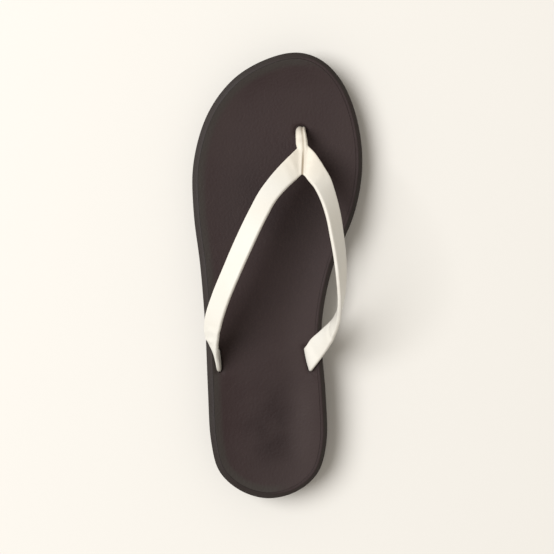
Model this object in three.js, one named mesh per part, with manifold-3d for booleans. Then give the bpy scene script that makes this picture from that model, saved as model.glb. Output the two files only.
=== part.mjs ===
// A left thong sandal: a moulded sole, an insole laid in its recess, and a two-strap upper with a toe post.
// Millimetres, +Z up, toe towards +Y, the inner (medial) side of the foot towards +X.
// The origin is on the floor, in the middle of the sandal's length and width.
import * as THREE from "three";
import { mergeVertices } from "three/addons/utils/BufferGeometryUtils.js";
import Module from "manifold-3d";

// Driving dimensions
const LENGTH = 250; // heel to toe
const BALL_WIDTH = 96; // across the widest part of the forefoot
const HEEL_HEIGHT = 20; // floor to the rim of the heel
const INSTEP_HEIGHT = 52; // floor to the top edge of the straps

// Sole and insole
const RIM_ROUND = 2.8; // radius of the rim's outer edge
const RIM_WIDTH = 3.6; // outline to the wall of the insole's recess
const WALL_LEAN = 1.8; // how far the side wall leans in from the rim's shoulder down to the floor
const WALL_SWELL = 0.5; // how far the wall swells out half way up
const FLOOR_ROUND = 2.2; // radius where the side wall turns under
const INSOLE_THICKNESS = 3;
const INSOLE_ROUND = 0.3; // radius of the insole's top edge
const DISH_REACH = 22; // width of the band along the edge in which the footbed rises to the rim
const GAP = 0.3; // clearance between pieces that meet

// Straps and toe post
const STRAP_THICKNESS = 2.2;
const STRAP_CROWN = 0.3; // extra half thickness in the middle of a strap
const SEAM_X = 15.8; // plane of the seam that joins the straps at the toe
const STRAP_OVERLAP = 0.1; // how far each strap reaches past the seam's plane into the other
const SEAM_TURN = 1.5; // distance from the seam's plane at which a strap turns down into the stem
const ANCHOR_DEPTH = 9; // how far strap and post ends go down into the sole

// Mesh fineness
const OUTLINE_STEPS = 5; // outline points from one row of OUTLINE to the next
const FOOTBED_CELLS = 10; // cells across the footbed
const TREAD_CELLS = 4; // cells across the underside
const STRAP_STEPS = 3; // sections from one row of a strap's table to the next
const POST_STEPS = 3; // sections from one row of POST to the next
const POST_SIDES = 10; // points around a lobe of the toe post
const EDGE_TURNS = [0, 30, 60, 90]; // degrees at which a rounded edge of the sole has a ring of points
const INSOLE_TURNS = [0, 45, 90]; // the same for the insole's top edge
const WELD = 1e-4; // points of a solid nearer than this are one

// Plan outline. along is a share of LENGTH from the heel, and lateral and medial are shares of BALL_WIDTH.
const HEEL_TIP = { along: 0, across: -0.048 };
const TOE_TIP = { along: 1, across: 0.116 };
const OUTLINE = [
  { along: 0.017, lateral: -0.212, medial: 0.122 },
  { along: 0.06, lateral: -0.336, medial: 0.246 },
  { along: 0.129, lateral: -0.385, medial: 0.296 },
  { along: 0.238, lateral: -0.402, medial: 0.291 },
  { along: 0.388, lateral: -0.418, medial: 0.266 },
  { along: 0.524, lateral: -0.448, medial: 0.33 },
  { along: 0.647, lateral: -0.489, medial: 0.457 },
  { along: 0.756, lateral: -0.49, medial: 0.499 },
  { along: 0.865, lateral: -0.407, medial: 0.459 },
  { along: 0.942, lateral: -0.255, medial: 0.369 },
  { along: 0.985, lateral: -0.063, medial: 0.252 },
];

// Heights along the sole, as shares of HEEL_HEIGHT: the underside, the middle of the footbed,
// and how far the footbed rises from its middle to the lateral and the medial rim.
const PROFILE = [
  { along: 0, floor: 0.08, middle: 0.86, lateral: 0.14, medial: 0.14 },
  { along: 0.06, floor: 0, middle: 0.84, lateral: 0.16, medial: 0.16 },
  { along: 0.16, floor: 0, middle: 0.82, lateral: 0.17, medial: 0.19 },
  { along: 0.3, floor: 0, middle: 0.84, lateral: 0.14, medial: 0.26 },
  { along: 0.43, floor: 0.11, middle: 0.83, lateral: 0.12, medial: 0.3 },
  { along: 0.57, floor: 0, middle: 0.76, lateral: 0.1, medial: 0.2 },
  { along: 0.7, floor: 0, middle: 0.7, lateral: 0.1, medial: 0.11 },
  { along: 0.82, floor: 0, middle: 0.69, lateral: 0.1, medial: 0.1 },
  { along: 0.91, floor: 0.1, middle: 0.74, lateral: 0.1, medial: 0.1 },
  { along: 1, floor: 0.36, middle: 0.9, lateral: 0.08, medial: 0.08 },
];

// Straps, a row for each section from the toe seam to the side slot, by its front and rear edges.
// X and Y are in mm, and up is a share of INSTEP_HEIGHT above the floor.
const LATERAL_STRAP = [
  { frontX: 8.7, frontY: 67.3, frontUp: 0.59, rearX: 13.7, rearY: 55.2, rearUp: 0.74 },
  { frontX: 3.6, frontY: 62, frontUp: 0.66, rearX: 10.3, rearY: 52, rearUp: 0.78 },
  { frontX: -2.3, frontY: 54.7, frontUp: 0.73, rearX: 6.6, rearY: 48.2, rearUp: 0.83 },
  { frontX: -7, frontY: 47.9, frontUp: 0.78, rearX: 2, rearY: 42.4, rearUp: 0.88 },
  { frontX: -12.2, frontY: 37.8, frontUp: 0.83, rearX: -2.4, rearY: 34.1, rearUp: 0.94 },
  { frontX: -21.1, frontY: 18.8, frontUp: 0.87, rearX: -11.2, rearY: 15.3, rearUp: 0.985 },
  { frontX: -26.2, frontY: 6.9, frontUp: 0.86, rearX: -16.6, rearY: 3.4, rearUp: 0.985 },
  { frontX: -32.8, frontY: -8.3, frontUp: 0.8, rearX: -23.2, rearY: -11.8, rearUp: 0.93 },
  { frontX: -37.5, frontY: -21.8, frontUp: 0.68, rearX: -28, rearY: -25.2, rearUp: 0.82 },
  { frontX: -38.4, frontY: -30.3, frontUp: 0.55, rearX: -30.7, rearY: -35.7, rearUp: 0.69 },
  { frontX: -36.3, frontY: -36.7, frontUp: 0.42, rearX: -31.8, rearY: -45.3, rearUp: 0.52 },
];
const LATERAL_SLOT = { frontX: -33.2, frontY: -40.2, rearX: -32.1, rearY: -53.2 };
const MEDIAL_STRAP = [
  { frontX: 22.2, frontY: 69, frontUp: 0.58, rearX: 17.5, rearY: 55.4, rearUp: 0.74 },
  { frontX: 27.2, frontY: 61.4, frontUp: 0.64, rearX: 19.5, rearY: 53.1, rearUp: 0.77 },
  { frontX: 30.8, frontY: 55.2, frontUp: 0.68, rearX: 22.5, rearY: 49.9, rearUp: 0.81 },
  { frontX: 33.4, frontY: 47.2, frontUp: 0.71, rearX: 26.1, rearY: 43.6, rearUp: 0.865 },
  { frontX: 36, frontY: 36.8, frontUp: 0.75, rearX: 29.6, rearY: 34.1, rearUp: 0.93 },
  { frontX: 37.9, frontY: 24.6, frontUp: 0.775, rearX: 31.9, rearY: 23.7, rearUp: 0.97 },
  { frontX: 39.1, frontY: 14.2, frontUp: 0.78, rearX: 33.8, rearY: 13.8, rearUp: 0.985 },
  { frontX: 39.2, frontY: 0.5, frontUp: 0.75, rearX: 35.5, rearY: 1.3, rearUp: 0.965 },
  { frontX: 37.5, frontY: -12.3, frontUp: 0.665, rearX: 36.4, rearY: -10.5, rearUp: 0.89 },
  { frontX: 33.2, frontY: -21.4, frontUp: 0.545, rearX: 35.9, rearY: -21.9, rearUp: 0.76 },
  { frontX: 26.1, frontY: -29.8, frontUp: 0.44, rearX: 32.1, rearY: -33.8, rearUp: 0.6 },
  { frontX: 20.1, frontY: -35.8, frontUp: 0.375, rearX: 25.7, rearY: -44.3, rearUp: 0.45 },
];
const MEDIAL_SLOT = { frontX: 17, frontY: -39.3, rearX: 19.7, rearY: -52 };

// The seam at the toe: both straps start here, in the plane SEAM_X, and turn down into a sewn stem.
// mitre is how far back an edge runs for each mm away from the seam.
const SEAM = {
  front: { y: 75.8, up: 0.475, stem: 2, mitre: 1.2 },
  rear: { y: 57.2, up: 0.7, stem: 2.4, mitre: 0.9 },
};

// Toe post, a row for each section: where its two lobes meet, the half width of the lateral and of
// the medial lobe, and their half depth.
const LOBE_SPREAD = 0.6; // distance from there to a lobe's middle, as a share of the lobe's half width
const POST = [
  { x: 15.8, y: 65, up: 0.56, lateral: 1.95, medial: 1.85, depth: 1.9 },
  { x: 15.9, y: 69.5, up: 0.535, lateral: 2.25, medial: 1.85, depth: 2.2 },
  { x: 15.7, y: 74.3, up: 0.485, lateral: 2.75, medial: 1.45, depth: 2.5 },
  { x: 15.2, y: 78.6, up: 0.415, lateral: 2.55, medial: 1.2, depth: 2.5 },
  { x: 14.7, y: 81, up: 0.34, lateral: 2.25, medial: 1, depth: 2.4 },
  { x: 14.5, y: 82, up: 0.26, lateral: 2.1, medial: 0.95, depth: 2.3 },
];

// Value of a table's column at a place along the sole, by monotone cubic steps through its rows.
function column(rows, name, along) {
  const slope = (k) => (rows[k + 1][name] - rows[k][name]) / (rows[k + 1].along - rows[k].along);
  const tangent = (k) => {
    if (k === 0 || k === rows.length - 1) return 0;
    const before = slope(k - 1);
    const after = slope(k);
    return before * after <= 0 ? 0 : (2 * before * after) / (before + after);
  };
  const place = THREE.MathUtils.clamp(along, 0, 1);
  let k = 0;
  while (k < rows.length - 2 && place > rows[k + 1].along) k += 1;
  const span = rows[k + 1].along - rows[k].along;
  const t = (place - rows[k].along) / span;
  const rise = t * t * (3 - 2 * t);
  return (
    rows[k][name] * (1 - rise) +
    rows[k + 1][name] * rise +
    span * t * (1 - t) * ((1 - t) * tangent(k) - t * tangent(k + 1))
  );
}

// The sole's outline from above

function outlinePoints() {
  const place = (along, across) => new THREE.Vector3(across * BALL_WIDTH, (along - 0.5) * LENGTH, 0);
  const corners = [
    place(TOE_TIP.along, TOE_TIP.across),
    ...[...OUTLINE].reverse().map((row) => place(row.along, row.lateral)),
    place(HEEL_TIP.along, HEEL_TIP.across),
    ...OUTLINE.map((row) => place(row.along, row.medial)),
  ];
  const curve = new THREE.CatmullRomCurve3(corners, true, "centripetal");
  const count = corners.length * OUTLINE_STEPS;
  const places = Array.from({ length: count }, (_, k) => curve.getPoint(k / count));
  const box = new THREE.Box3().setFromPoints(places);
  const middle = box.getCenter(new THREE.Vector3());
  const fit = new THREE.Vector3(BALL_WIDTH, LENGTH, 1).divide(box.getSize(new THREE.Vector3()).setZ(1));
  const up = new THREE.Vector3(0, 0, 1);
  return places.map((at, k) => ({
    at: at.sub(middle).multiply(fit),
    inward: up.clone().cross(curve.getTangent(k / count)).normalize(),
  }));
}

const outline = outlinePoints();

// Distance of a point in plan from the outline, measured inwards.
function edgeDistance(x, y) {
  const point = new THREE.Vector3(x, y, 0);
  const nearest = new THREE.Vector3();
  const side = new THREE.Line3();
  return outline.reduce((least, { at }, k) => {
    side.set(at, outline[(k + 1) % outline.length].at).closestPointToPoint(point, true, nearest);
    return Math.min(least, nearest.distanceTo(point));
  }, Infinity);
}

const shareAlong = (y) => y / LENGTH + 0.5;
const floorHeight = (y) => HEEL_HEIGHT * column(PROFILE, "floor", shareAlong(y));

// Height of the footbed: a middle line with a dished band that rises to the rim, higher under the arch.
function footbedHeight(x, y) {
  const along = shareAlong(y);
  const left = column(OUTLINE, "lateral", along);
  const right = column(OUTLINE, "medial", along);
  const side = THREE.MathUtils.smoothstep(x / BALL_WIDTH, left, right);
  const rise = THREE.MathUtils.lerp(
    column(PROFILE, "lateral", along),
    column(PROFILE, "medial", along),
    side,
  );
  const near = 1 - Math.min(edgeDistance(x, y) / DISH_REACH, 1);
  return HEEL_HEIGHT * (column(PROFILE, "middle", along) + rise * near * near);
}

// Closed solids from points and triangles

const wasm = await Module();
wasm.setup();

// A list of triangles, each of three points, as a solid that faces outwards.
function solidFrom(triangles) {
  const distinct = triangles.filter(
    ([a, b, c]) => !a.equals(b) && !b.equals(c) && !c.equals(a),
  );
  const geometry = new THREE.BufferGeometry().setFromPoints(distinct.flat());
  const merged = mergeVertices(geometry, WELD);
  const make = (triVerts) =>
    new wasm.Manifold(
      new wasm.Mesh({
        numProp: 3,
        vertProperties: merged.attributes.position.array,
        triVerts: new Uint32Array(triVerts),
      }),
    );
  const solid = make(merged.index.array);
  return solid.volume() > 0 ? solid : make([...merged.index.array].reverse());
}

// Two triangles for each cell between two rows of points; a closed row also joins its end to its start.
function band(first, second, closed) {
  const cells = closed ? first.length : first.length - 1;
  const triangles = [];
  for (let k = 0; k < cells; k += 1) {
    const next = (k + 1) % first.length;
    triangles.push([first[k], first[next], second[next]]);
    triangles.push([first[k], second[next], second[k]]);
  }
  return triangles;
}

// A ring of points along the outline, moved inwards, at a height that may follow the place.
function ring(inset, height) {
  return outline.map(({ at, inward }) => {
    const point = at.clone().addScaledVector(inward, inset);
    return point.setZ(height(point.x, point.y));
  });
}

// Rows of points across a ring, from its lateral side to its medial side, for a filled face.
function rowsAcross(edge, cells, height) {
  const half = edge.length / 2;
  return Array.from({ length: half + 1 }, (_, k) => {
    const left = edge[k];
    const right = edge[(edge.length - k) % edge.length];
    return Array.from({ length: cells + 1 }, (_, j) => {
      if (j === 0) return left;
      if (j === cells) return right;
      const point = left.clone().lerp(right, j / cells);
      return point.setZ(height(point.x, point.y));
    });
  });
}

function face(edge, cells, height, upwards) {
  const rows = rowsAcross(edge, cells, height);
  const triangles = rows.slice(1).flatMap((row, k) => band(rows[k], row, false));
  return upwards ? triangles.map(([a, b, c]) => [a, c, b]) : triangles;
}

// A slab: rings from the edge of its underside up to the edge of its top, both filled.
function slab(rings, under, over) {
  const walls = rings.slice(1).flatMap((next, k) => band(rings[k], next, true));
  return solidFrom([
    ...walls,
    ...face(rings[0], under.cells, under.height, false),
    ...face(rings[rings.length - 1], over.cells, over.height, true),
  ]);
}

// A solid lofted through closed sections, with its two ends filled.
function loft(sections) {
  const fan = (section) =>
    section.slice(2).map((point, k) => [section[0], section[k + 1], point]);
  const walls = sections.slice(1).flatMap((next, k) => band(sections[k], next, true));
  const start = fan(sections[0]).map(([a, b, c]) => [a, c, b]);
  return solidFrom([...start, ...walls, ...fan(sections[sections.length - 1])]);
}

// Sole and insole

const recessFloor = (x, y) => footbedHeight(x, y) - INSOLE_THICKNESS - GAP;

function soleSolid() {
  const under = (x, y) => floorHeight(y);
  const rim = (degrees) => {
    const turn = THREE.MathUtils.degToRad(degrees);
    return ring(RIM_ROUND * (1 - Math.cos(turn)), (x, y) => {
      return footbedHeight(x, y) - RIM_ROUND * (1 - Math.sin(turn));
    });
  };
  const turnedUnder = (degrees) => {
    const turn = THREE.MathUtils.degToRad(degrees);
    return ring(WALL_LEAN + FLOOR_ROUND * (1 - Math.sin(turn)), (x, y) => {
      return floorHeight(y) + FLOOR_ROUND * (1 - Math.cos(turn));
    });
  };
  const rings = [
    ...EDGE_TURNS.map(turnedUnder),
    ring(WALL_LEAN / 2 - WALL_SWELL, (x, y) => {
      return (floorHeight(y) + FLOOR_ROUND + footbedHeight(x, y) - RIM_ROUND) / 2;
    }),
    ...EDGE_TURNS.map(rim),
    ring(RIM_WIDTH, footbedHeight),
    ring(RIM_WIDTH, recessFloor),
  ];
  return slab(
    rings,
    { cells: TREAD_CELLS, height: under },
    { cells: FOOTBED_CELLS, height: recessFloor },
  );
}

function insoleSolid() {
  const edge = RIM_WIDTH + GAP;
  const underside = (x, y) => footbedHeight(x, y) - INSOLE_THICKNESS;
  const rounded = (degrees) => {
    const turn = THREE.MathUtils.degToRad(degrees);
    return ring(edge + INSOLE_ROUND * (1 - Math.cos(turn)), (x, y) => {
      return footbedHeight(x, y) - INSOLE_ROUND * (1 - Math.sin(turn));
    });
  };
  return slab(
    [ring(edge, underside), ...INSOLE_TURNS.map(rounded)],
    { cells: FOOTBED_CELLS, height: underside },
    { cells: FOOTBED_CELLS, height: footbedHeight },
  );
}

// Upper

// Half thickness of a strap across its width, from one edge to the other: rounded edges and a soft crown.
const STRAP_SECTION = [
  { across: 0, thick: 0 },
  { across: 0.03, thick: 0.7 },
  { across: 0.1, thick: 1 },
  { across: 0.5, thick: 1 },
  { across: 0.9, thick: 1 },
  { across: 0.97, thick: 0.7 },
  { across: 1, thick: 0 },
];

const upHeight = (share) => share * INSTEP_HEIGHT;

// The front and rear edges of a strap as smooth curves, from the stem under the seam to the end in the sole.
function strapEdges(rows, slot, side, extra) {
  const stem = STRAP_THICKNESS / 2 - STRAP_OVERLAP;
  const start = (edge, aside, drop) => {
    const { y, up, mitre } = SEAM[edge];
    return new THREE.Vector3(SEAM_X + side * aside, y - mitre * aside, upHeight(up) - drop);
  };
  const end = (edge, drop) => {
    const x = slot[`${edge}X`];
    const y = slot[`${edge}Y`];
    return new THREE.Vector3(x, y, footbedHeight(x, y) - drop);
  };
  const curve = (edge) =>
    new THREE.CatmullRomCurve3(
      [
        start(edge, stem, SEAM[edge].stem + extra),
        start(edge, SEAM_TURN, 0),
        ...rows.map((row) => {
          return new THREE.Vector3(row[`${edge}X`], row[`${edge}Y`], upHeight(row[`${edge}Up`]));
        }),
        end(edge, 0),
        end(edge, ANCHOR_DEPTH + extra),
      ],
      false,
      "centripetal",
    );
  return { front: curve("front"), rear: curve("rear"), spans: rows.length + 3 };
}

// One strap as a solid. extra widens it on every side, for the slot that it goes into.
function strapSolid(rows, slot, side, extra) {
  const { front, rear, spans } = strapEdges(rows, slot, side, extra);
  const count = spans * STRAP_STEPS;
  const sections = Array.from({ length: count + 1 }, (_, k) => {
    const t = k / count;
    const edge = front.getPoint(t);
    const across = rear.getPoint(t).sub(edge);
    const way = front.getTangent(t).add(rear.getTangent(t)).normalize();
    const outward = across.clone().cross(way).normalize().multiplyScalar(-side);
    const reach = extra / across.length();
    const point = ({ across: share, thick }, face) => {
      const crown = STRAP_CROWN * Math.sin(Math.PI * share) * (face > 0 ? 1 : 0);
      const height = thick * (STRAP_THICKNESS / 2 + extra) + crown;
      return edge
        .clone()
        .addScaledVector(across, share * (1 + 2 * reach) - reach)
        .addScaledVector(outward, face * height);
    };
    const over = STRAP_SECTION.map((step) => point(step, 1));
    const under = STRAP_SECTION.slice(1, -1).map((step) => point(step, -1));
    return [...over, ...under.reverse()];
  });
  return loft(sections);
}

// One lobe of the toe post, lateral or medial: a strap end drawn in to a narrow oval.
function postLobe(lobe, extra) {
  const side = lobe === "lateral" ? -1 : 1;
  const last = POST[POST.length - 1];
  const anchor = footbedHeight(last.x, last.y) - ANCHOR_DEPTH - extra;
  const rows = [...POST, { ...last, up: anchor / INSTEP_HEIGHT }];
  const path = new THREE.CatmullRomCurve3(
    rows.map((row) => new THREE.Vector3(row.x, row.y, upHeight(row.up))),
    false,
    "centripetal",
  );
  const count = (rows.length - 1) * POST_STEPS;
  const sideways = new THREE.Vector3(1, 0, 0);
  const sections = Array.from({ length: count + 1 }, (_, k) => {
    const t = k / count;
    const from = Math.min(Math.floor(k / POST_STEPS), rows.length - 2);
    const share = k / POST_STEPS - from;
    const half = THREE.MathUtils.lerp(rows[from][lobe], rows[from + 1][lobe], share);
    const depth = THREE.MathUtils.lerp(rows[from].depth, rows[from + 1].depth, share);
    const middle = path.getPoint(t).addScaledVector(sideways, side * half * LOBE_SPREAD);
    const deepways = path.getTangent(t).cross(sideways).normalize();
    return Array.from({ length: POST_SIDES }, (_, j) => {
      const turn = (2 * Math.PI * (j + 0.5)) / POST_SIDES;
      return middle
        .clone()
        .addScaledVector(sideways, Math.cos(turn) * (half + extra))
        .addScaledVector(deepways, Math.sin(turn) * (depth + extra));
    });
  });
  return loft(sections);
}

function upperSolid(extra) {
  return strapSolid(LATERAL_STRAP, LATERAL_SLOT, -1, extra)
    .add(strapSolid(MEDIAL_STRAP, MEDIAL_SLOT, 1, extra))
    .add(postLobe("lateral", extra))
    .add(postLobe("medial", extra));
}

// The sandal

const FINISH = {
  sole: { color: 0x3a302e, roughness: 0.75, metalness: 0 },
  insole: { color: 0x453a39, roughness: 0.7, metalness: 0 },
  upper: { color: 0xf1e8d8, roughness: 0.55, metalness: 0 },
};

function meshOf(name, solid) {
  const made = solid.getMesh();
  const geometry = new THREE.BufferGeometry();
  geometry.setAttribute("position", new THREE.BufferAttribute(made.vertProperties, 3));
  geometry.setIndex(new THREE.BufferAttribute(made.triVerts, 1));
  geometry.computeVertexNormals();
  const mesh = new THREE.Mesh(geometry, new THREE.MeshStandardMaterial(FINISH[name]));
  mesh.name = name;
  return mesh;
}

const slots = upperSolid(GAP);
const sandal = new THREE.Group();
sandal.add(
  meshOf("sole", soleSolid().subtract(slots)),
  meshOf("insole", insoleSolid().subtract(slots)),
  meshOf("upper", upperSolid(0)),
);

export default sandal;
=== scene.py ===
"""Looks of a left thong sandal: a moulded sole, a footbed sheet and a leather upper, on a studio floor.

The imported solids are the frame. The sole and the footbed start from copies of their solids, and the
upper is swept along the rows below. Everything is in metres unless a name or a comment says mm.
"""

import math
from collections import namedtuple

import bmesh
import bpy
from bpy.props import FloatProperty, FloatVectorProperty, IntProperty, PointerProperty
from mathutils import Matrix, Vector
from mathutils.bvhtree import BVHTree
from mathutils.kdtree import KDTree


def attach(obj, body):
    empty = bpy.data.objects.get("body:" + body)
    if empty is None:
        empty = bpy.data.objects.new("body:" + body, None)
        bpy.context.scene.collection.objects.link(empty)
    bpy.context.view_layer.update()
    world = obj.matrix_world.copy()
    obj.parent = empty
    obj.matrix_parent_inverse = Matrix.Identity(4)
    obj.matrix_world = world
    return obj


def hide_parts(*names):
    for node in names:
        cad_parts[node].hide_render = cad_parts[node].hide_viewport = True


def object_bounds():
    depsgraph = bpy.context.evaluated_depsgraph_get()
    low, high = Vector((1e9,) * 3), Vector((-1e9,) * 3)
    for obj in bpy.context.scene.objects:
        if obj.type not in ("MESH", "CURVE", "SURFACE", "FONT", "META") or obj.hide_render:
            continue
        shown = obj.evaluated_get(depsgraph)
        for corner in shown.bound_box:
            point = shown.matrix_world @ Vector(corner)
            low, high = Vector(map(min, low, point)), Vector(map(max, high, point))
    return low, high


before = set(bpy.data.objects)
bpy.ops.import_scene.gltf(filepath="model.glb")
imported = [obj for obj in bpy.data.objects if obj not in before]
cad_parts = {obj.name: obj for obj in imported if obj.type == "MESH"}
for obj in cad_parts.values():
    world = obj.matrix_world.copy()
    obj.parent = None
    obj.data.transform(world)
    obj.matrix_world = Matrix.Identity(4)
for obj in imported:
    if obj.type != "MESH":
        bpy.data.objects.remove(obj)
CAD_LOW, CAD_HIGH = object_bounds()

bl_info = {
    "name": "Thong sandal",
    "version": (1, 0, 0),
    "blender": (4, 5, 0),
    "location": "3D View > Sidebar > Sandal",
    "description": "Builds the looks of a thong sandal around its packed solids, and a plain studio",
    "category": "Object",
}

MM = 0.001
BODY = "root"

# A mask's run from 0 at its start to 1 a length further on. A negative length runs the other way.
Ramp = namedtuple("Ramp", "start length")

# How copies of the solids are merged, paired to quads, creased and shaded.
MERGE_DISTANCE = 0.01 * MM
PAIR_FLATNESS = math.radians(30)
PAIR_SHAPE = math.radians(60)
CREASE_ANGLE = math.radians(60)
SHARP_ANGLE = math.radians(50)

# Smoothing: the share of each round, and the rounds for the slots, the strap's rest and the leather.
SMOOTH_SHARE = 0.5
SLOT_ROUNDS = 12
REST_ROUNDS = 8
LEATHER_ROUNDS = 8

# Straps, a row for each section from the toe to the side slot, by the front and rear edges, in mm.
StrapRow = namedtuple("StrapRow", "front_x front_y front_z rear_x rear_y rear_z")
LATERAL_ROWS = [
    StrapRow(8.7, 67.6, 30.7, 13.0, 54.5, 38.3),
    StrapRow(3.6, 62.0, 34.3, 10.3, 52.0, 40.6),
    StrapRow(-2.3, 54.7, 38.0, 6.6, 48.2, 43.2),
    StrapRow(-7.0, 47.9, 40.6, 2.0, 42.4, 45.8),
    StrapRow(-12.2, 37.8, 43.2, -2.4, 34.1, 48.9),
    StrapRow(-21.1, 18.8, 45.2, -11.2, 15.3, 51.2),
    StrapRow(-26.2, 6.9, 44.7, -16.6, 3.4, 51.2),
    StrapRow(-32.8, -8.3, 41.6, -23.2, -11.8, 48.4),
    StrapRow(-37.5, -21.8, 35.4, -28.0, -25.2, 42.6),
    StrapRow(-38.4, -30.3, 28.6, -30.7, -35.7, 35.9),
    StrapRow(-36.3, -36.7, 21.8, -31.8, -45.3, 27.0),
    StrapRow(-33.2, -40.2, 18.2, -32.1, -53.2, 18.0),
]
MEDIAL_ROWS = [
    StrapRow(22.2, 69.0, 30.2, 18.4, 54.4, 38.3),
    StrapRow(27.2, 61.4, 33.3, 20.6, 52.0, 40.3),
    StrapRow(30.8, 55.2, 35.4, 22.5, 49.9, 42.1),
    StrapRow(33.4, 47.2, 36.9, 26.1, 43.6, 45.0),
    StrapRow(36.0, 36.8, 39.0, 29.6, 34.1, 48.4),
    StrapRow(37.9, 24.6, 40.3, 31.9, 23.7, 50.4),
    StrapRow(39.1, 14.2, 40.6, 33.8, 13.8, 51.2),
    StrapRow(39.2, 0.5, 39.0, 35.5, 1.3, 50.2),
    StrapRow(37.5, -12.3, 34.6, 36.4, -10.5, 46.3),
    StrapRow(33.2, -21.4, 28.3, 35.9, -21.9, 39.5),
    StrapRow(25.5, -28.9, 23.2, 32.1, -33.8, 31.2),
    StrapRow(19.2, -34.7, 20.3, 25.7, -44.3, 23.4),
    StrapRow(16.6, -38.9, 18.7, 19.7, -52.3, 18.8),
]

# The seam where the straps meet face to face, in the plane x, in mm: how far its flange hangs, and how
# far back an edge runs for each mm away from the seam.
SeamEnd = namedtuple("SeamEnd", "y z stem mitre")
SEAM_X = 15.8
SEAM_FRONT = SeamEnd(75.8, 24.7, 2.0, 1.2)
SEAM_REAR = SeamEnd(57.2, 37.0, 2.4, 0.9)

# A strap's sections: how far apart, the spans that are turned into the seam, and the share of the
# anchor over which a strap bends down into its slot.
Section = namedtuple("Section", "strap run front across way outward")
Spot = namedtuple("Spot", "strap along across")
SECTION_SPACING = 1.2 * MM
SEAM_SPANS = 3
ANCHOR_BEND = 0.25

# Toe post, a row for each section, in mm: where its two lobes meet, their half widths and depth, and
# how far each lobe's middle is from there, as a share of its half width. It shows from POST_START on.
PostRow = namedtuple("PostRow", "x y z lateral medial depth spread")
POST_START = 69.5
POST_STEPS = 8
POST_SIDES = 40
POST_ROWS = [
    PostRow(15.8, 60.5, 32.6, 1.0, 1.0, 0.7, 0.6),
    PostRow(15.8, 65.0, 29.2, 1.6, 1.5, 1.3, 0.6),
    PostRow(15.9, 69.5, 26.9, 2.1, 1.8, 1.7, 0.6),
    PostRow(15.7, 74.3, 24.4, 2.7, 1.45, 2.2, 0.6),
    PostRow(15.2, 78.6, 21.4, 2.55, 1.2, 2.5, 0.64),
    PostRow(14.7, 81.0, 17.7, 2.25, 1.0, 2.4, 0.72),
    PostRow(14.5, 82.0, 13.5, 2.1, 0.95, 2.3, 0.75),
    PostRow(14.5, 82.0, 5.5, 2.1, 0.95, 2.3, 0.75),
]

# A strap's section from its front edge to its rear edge: place across, and half thickness as a share.
StrapStep = namedtuple("StrapStep", "across thick")
STRAP_SECTION = [
    StrapStep(0.0, 0.0),
    StrapStep(0.004, 0.55),
    StrapStep(0.022, 0.86),
    StrapStep(0.06, 1.0),
    StrapStep(0.2, 1.0),
    StrapStep(0.35, 1.0),
    StrapStep(0.5, 1.0),
    StrapStep(0.65, 1.0),
    StrapStep(0.8, 1.0),
    StrapStep(0.94, 1.0),
    StrapStep(0.978, 0.86),
    StrapStep(0.996, 0.55),
    StrapStep(1.0, 0.0),
]

# Soft creases of the leather, in mm: along from the seam at mid width, slant from the front edge to the
# rear edge, depth and half width of the trough, and the stretch across the strap from start to end.
Crease = namedtuple("Crease", "strap along slant depth width start end")
CREASES = [
    Crease("lateral", 6.5, 5.0, 0.1, 1.6, 0.0, 0.75),
    Crease("lateral", 12.0, 7.0, 0.07, 2.2, 0.1, 0.9),
    Crease("lateral", 112.0, -4.0, 0.2, 2.0, 0.25, 1.0),
    Crease("lateral", 120.0, -6.0, 0.28, 1.7, 0.0, 0.8),
    Crease("medial", 5.5, -4.0, 0.1, 1.5, 0.0, 0.7),
    Crease("medial", 15.0, 5.0, 0.15, 2.4, 0.2, 1.0),
    Crease("medial", 94.0, 4.0, 0.2, 2.4, 0.0, 0.8),
    Crease("medial", 106.0, 6.0, 0.26, 1.9, 0.15, 1.0),
]

# How far a crease reaches, in half widths, the share of the strap over which it fades out, and the
# ridges beside its trough: place in half widths, and height as a share of the depth.
CREASE_REACH = 4
CREASE_FADE = 0.2
RIDGE_PLACE = 1.7
RIDGE_SHARE = 0.4

# Masks of the leather. The seam shows in y from its rear end on, fades by a share along the post, is as
# wide as its distance in x, and is on faces that look up. Painted warm light of the seam's shaded valley
# runs along from the seam, the edge, which takes a darker edge tone with painted shade, is a share
# across the strap, and the darker tan towards the footbed is a height. All but the edge and the normal
# are in mm.
SEAM_SHOWN = Ramp(SEAM_REAR.y - 3.9, 3.0)
SEAM_FADE = Ramp(POST_START - 5.6, 8.0)
SEAM_FAINT = 0.45
SEAM_BAND = Ramp(0.8, -0.45)
SEAM_UP = Ramp(0.0, 1 / 3)
SEAM_WARM_LIGHT_RUN = Ramp(24.0, -24.0)
EDGE_BAND = Ramp(0.08, -0.08)
DARKER_TAN_HEIGHT = Ramp(25.0, -9.0)

# Where the foot presses on the footbed, darker by its wearing and by painted shade in the heel dish, and
# a painted light patch on the heel's inner slope, which faces the light: middle, half width and half
# length of the patch in mm, and amount.
Patch = namedtuple("Patch", "x y width length amount")
FOOT_WEAR_AND_SHADE = [
    Patch(-3.0, -84.0, 16.0, 27.0, 1.0),
    Patch(-4.0, 40.0, 30.0, 28.0, 0.8),
]
# Painted light: a lighter patch on the heel's inner slope, which faces the light.
HEEL_LIGHT = Patch(15.0, -82.0, 8.0, 26.0, 0.8)

# Nearest points of the rim and of the footbed are searched for from this many mm higher, so that the
# top of an edge is found.
SEARCH_LIFT = 3
# Painted light on the footbed's band beside the outer rim and the toe, where it faces the light, in mm
# from the raised point.
MARGIN_LIGHT_RUN = Ramp(SEARCH_LIFT, 2.6)
# Parts of a normal or direction: top of the footbed, and the inner side of the foot.
TOP_SIDE = Ramp(-0.5, 1.0)
INNER_SIDE = Ramp(0.0, 0.5)
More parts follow.
